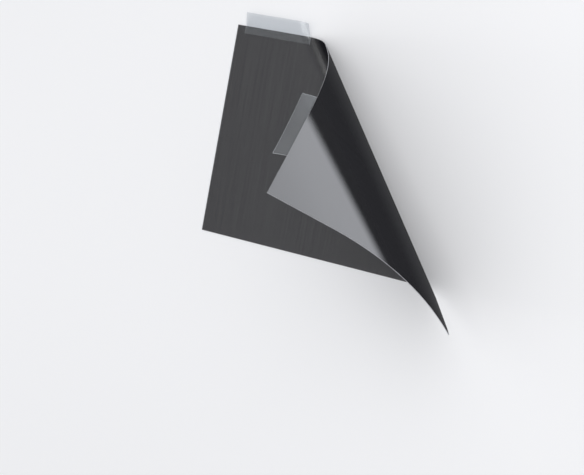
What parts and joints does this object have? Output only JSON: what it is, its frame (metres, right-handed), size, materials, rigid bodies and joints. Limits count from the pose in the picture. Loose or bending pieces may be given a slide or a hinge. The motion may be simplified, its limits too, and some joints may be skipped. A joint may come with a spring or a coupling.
{
  "type": "laptop privacy filter",
  "caption": "Thin dark louvre film for a laptop display, with one corner curled up and over, and clear hinge strips along its top edge.",
  "frame": {"origin": "centre of the foot of the part's box, on the plane the flat part of the film lies on", "axes": "+X along the film's bottom edge towards the curled side, +Y up the film's left edge towards the hinge strips, +Z out of the film's front face"},
  "size_m": [0.319, 0.235, 0.1845],
  "materials": {
    "louvre_film": "satin",
    "clear_strip": "gloss"
  },
  "bodies": {
    "root": {"privacy_film": "louvre_film", "left_hinge_strip": "clear_strip", "right_hinge_strip": "clear_strip"}
  },
  "joints": []
}
